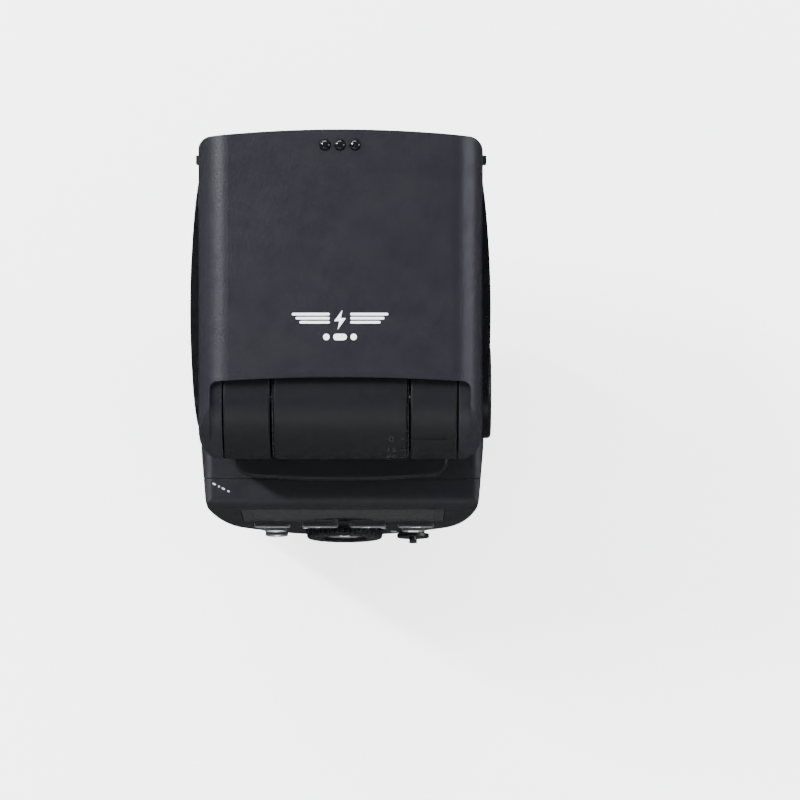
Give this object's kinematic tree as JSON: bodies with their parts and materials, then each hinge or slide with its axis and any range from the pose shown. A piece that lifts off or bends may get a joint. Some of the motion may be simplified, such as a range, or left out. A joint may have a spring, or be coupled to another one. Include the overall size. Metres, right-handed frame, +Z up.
{
  "type": "speedlight flash",
  "caption": "Shoe-mount flash with a swivelling, tilting head, zoom reflector, pull-out panels, rear screen and dial, battery door and locking foot.",
  "frame": {"origin": "centre of the mounting foot's underside, on the vertical axis the head swivels about", "axes": "+Z up through the housing, -Y the way the light leaves with the head straight ahead, +X the battery door's side"},
  "size_m": [0.0712, 0.1003, 0.1147],
  "materials": {
    "shell_black": "fine leather-like grain, bluish black",
    "neck_black": "fine satin",
    "side_panel": "smooth satin",
    "bezel_black": "fine satin",
    "control_rubber": "soft matt keys",
    "dial_plastic": "semi-gloss, ribbed rim",
    "stud_gloss": "polished black domes",
    "window_red": "dark red, polished",
    "screen_glass": "clear cover",
    "display": "grey-green liquid crystal",
    "fresnel_clear": "clear, fine ridges on the inside",
    "wide_clear": "clear, moulded",
    "catch_white": "opaque white",
    "foot_metal": "plated, worn at its edges",
    "contact_gold": "gold-plated",
    "pin_steel": "polished",
    "screw_black": "black oxide",
    "box_plastic": "moulded",
    "cell_jacket": "printed jacket",
    "spring_metal": "nickel",
    "capacitor_can": "sleeved can",
    "board_green": "solder-masked board",
    "lamp_clear": "clear domes",
    "reflector_bright": "bright anodised",
    "tube_glass": "clear quartz",
    "motor_can": "plain",
    "shaft_steel": "ground"
  },
  "bodies": {
    "housing": {"front_shell": "shell_black", "rear_shell": "shell_black", "foot_base": "neck_black", "mounting_foot": "foot_metal", "base_screws": "screw_black", "front_window": "window_red", "assist_lamps": "lamp_clear", "door_hinge_pin": "shaft_steel", "battery_box": "box_plastic", "battery_cells": "cell_jacket", "cell_contacts": "spring_metal", "main_capacitor": "capacitor_can", "main_board": "board_green", "control_board": "board_green", "screen_module": "display", "screen_window": "screen_glass", "swivel_bearing": "box_plastic"},
    "neck": {"neck_yoke": "neck_black", "neck_cap": "neck_black", "swivel_retainer": "spring_metal"},
    "head": {"head_top_shell": "shell_black", "head_bottom_shell": "shell_black", "left_barrel": "neck_black", "right_barrel": "neck_black", "hinge_shaft": "shaft_steel", "side_panel_left": "side_panel", "side_panel_right": "side_panel", "grip_studs": "stud_gloss", "front_bezel": "bezel_black", "fresnel_panel": "fresnel_clear", "panel_tray": "box_plastic", "zoom_frame": "spring_metal", "head_screws": "screw_black", "guide_rods": "shaft_steel", "zoom_motor": "motor_can", "trigger_board": "board_green"},
    "zoom": {"zoom_carriage": "box_plastic", "reflector": "reflector_bright", "flash_tube": "tube_glass"},
    "lead_screw": {"lead_screw": "shaft_steel"},
    "wide_panel": {"wide_panel": "wide_clear"},
    "catchlight_panel": {"catchlight_panel": "catch_white"},
    "bounce_release": {"bounce_release_button": "neck_black"},
    "door": {"battery_door": "shell_black", "door_contacts": "spring_metal"},
    "door_latch": {"door_latch": "dial_plastic"},
    "lock_lever": {"lock_lever": "neck_black"},
    "lock_pin": {"lock_pin": "pin_steel"},
    "lock_release": {"lock_release_button": "control_rubber"},
    "contact_pins": {"contact_pins": "contact_gold"},
    "power_switch": {"power_switch": "dial_plastic"},
    "select_dial": {"select_dial": "dial_plastic"},
    "set_key": {"set_key": "control_rubber"},
    "wireless_key": {"wireless_key": "control_rubber"},
    "menu_key": {"menu_key": "control_rubber"},
    "test_fire_key": {"test_fire_key": "control_rubber"},
    "function_key_1": {"function_key_1": "control_rubber"},
    "function_key_2": {"function_key_2": "control_rubber"},
    "function_key_3": {"function_key_3": "control_rubber"},
    "function_key_4": {"function_key_4": "control_rubber"}
  },
  "joints": [
    {"name": "swivel", "type": "hinge", "parent": "housing", "child": "neck", "pos_m": [0, 0, 0.0755], "axis": [0, 0, 1], "range_deg": [-180, 150]},
    {"name": "tilt", "type": "hinge", "parent": "neck", "child": "head", "pos_m": [0, 0, 0.0945], "axis": [-1, 0, 0], "range_deg": [0, 90]},
    {"name": "wide_panel_slide", "type": "slide", "parent": "head", "child": "wide_panel", "axis": [0, -1, 0], "range_m": [0, 0.028]},
    {"name": "catchlight_slide", "type": "slide", "parent": "head", "child": "catchlight_panel", "axis": [0, -1, 0], "range_m": [0, 0.028]},
    {"name": "zoom_slide", "type": "slide", "parent": "head", "child": "zoom", "axis": [0, 1, 0], "range_m": [0, 0.016]},
    {"name": "lead_screw_turn", "type": "hinge", "parent": "head", "child": "lead_screw", "pos_m": [0.028, -0.045, 0.0845], "axis": [0, -1, 0], "range_deg": [-1, 2882]},
    {"name": "bounce_release_press", "type": "slide", "parent": "head", "child": "bounce_release", "axis": [1, 0, 0], "range_m": [0, 0.0008], "stiffness_N_per_m": 600, "springref_m": -0.0004},
    {"name": "door_hinge", "type": "hinge", "parent": "housing", "child": "door", "pos_m": [0.0312, 0, 0.0192], "axis": [0, 1, 0], "range_deg": [0, 100]},
    {"name": "door_latch_slide", "type": "slide", "parent": "door", "child": "door_latch", "axis": [0, 0, -1], "range_m": [0, 0.0018]},
    {"name": "lock_pin_slide", "type": "slide", "parent": "housing", "child": "lock_pin", "axis": [0, 0, -1], "range_m": [0, 0.0016]},
    {"name": "lock_lever_turn", "type": "hinge", "parent": "housing", "child": "lock_lever", "pos_m": [-0.007, 0.0135, 0.009], "axis": [0, 0, 1], "range_deg": [-0.1, 35.1]},
    {"name": "lock_release_press", "type": "slide", "parent": "housing", "child": "lock_release", "axis": [0, -1, 0], "range_m": [0, 0.0012], "stiffness_N_per_m": 350, "springref_m": -0.0004},
    {"name": "contact_pins_press", "type": "slide", "parent": "housing", "child": "contact_pins", "axis": [0, 0, 1], "range_m": [0, 0.0004], "stiffness_N_per_m": 500, "springref_m": -0.0003},
    {"name": "power_switch_turn", "type": "hinge", "parent": "housing", "child": "power_switch", "pos_m": [-0.0174, 0.03581, 0.02325], "axis": [0, 0.989, 0.1479], "range_deg": [-45, 45]},
    {"name": "select_dial_turn", "type": "hinge", "parent": "housing", "child": "select_dial", "pos_m": [0, 0.03502, 0.02859], "axis": [0, 0.989, 0.1479], "continuous": true},
    {"name": "set_key_press", "type": "slide", "parent": "housing", "child": "set_key", "axis": [0, -0.989, -0.1479], "range_m": [0, 0.0007], "stiffness_N_per_m": 350, "springref_m": -0.0004},
    {"name": "wireless_key_press", "type": "slide", "parent": "housing", "child": "wireless_key", "axis": [0, -0.989, -0.1479], "range_m": [0, 0.0006], "stiffness_N_per_m": 350, "springref_m": -0.0004},
    {"name": "menu_key_press", "type": "slide", "parent": "housing", "child": "menu_key", "axis": [0, -0.989, -0.1479], "range_m": [0, 0.0006], "stiffness_N_per_m": 350, "springref_m": -0.0004},
    {"name": "test_fire_key_press", "type": "slide", "parent": "housing", "child": "test_fire_key", "axis": [0, -0.989, -0.1479], "range_m": [0, 0.0006], "stiffness_N_per_m": 350, "springref_m": -0.0004},
    {"name": "function_key_1_press", "type": "slide", "parent": "housing", "child": "function_key_1", "axis": [0, -0.989, -0.1479], "range_m": [0, 0.0006], "stiffness_N_per_m": 350, "springref_m": -0.0004},
    {"name": "function_key_2_press", "type": "slide", "parent": "housing", "child": "function_key_2", "axis": [0, -0.989, -0.1479], "range_m": [0, 0.0006], "stiffness_N_per_m": 350, "springref_m": -0.0004},
    {"name": "function_key_3_press", "type": "slide", "parent": "housing", "child": "function_key_3", "axis": [0, -0.989, -0.1479], "range_m": [0, 0.0006], "stiffness_N_per_m": 350, "springref_m": -0.0004},
    {"name": "function_key_4_press", "type": "slide", "parent": "housing", "child": "function_key_4", "axis": [0, -0.989, -0.1479], "range_m": [0, 0.0006], "stiffness_N_per_m": 350, "springref_m": -0.0004}
  ],
  "couplings": [
    {"joint": "lead_screw_turn", "follows": "zoom_slide", "rad_per_m": 3141.6},
    {"joint": "lock_lever_turn", "follows": "lock_pin_slide", "rad_per_m": 381.79}
  ]
}
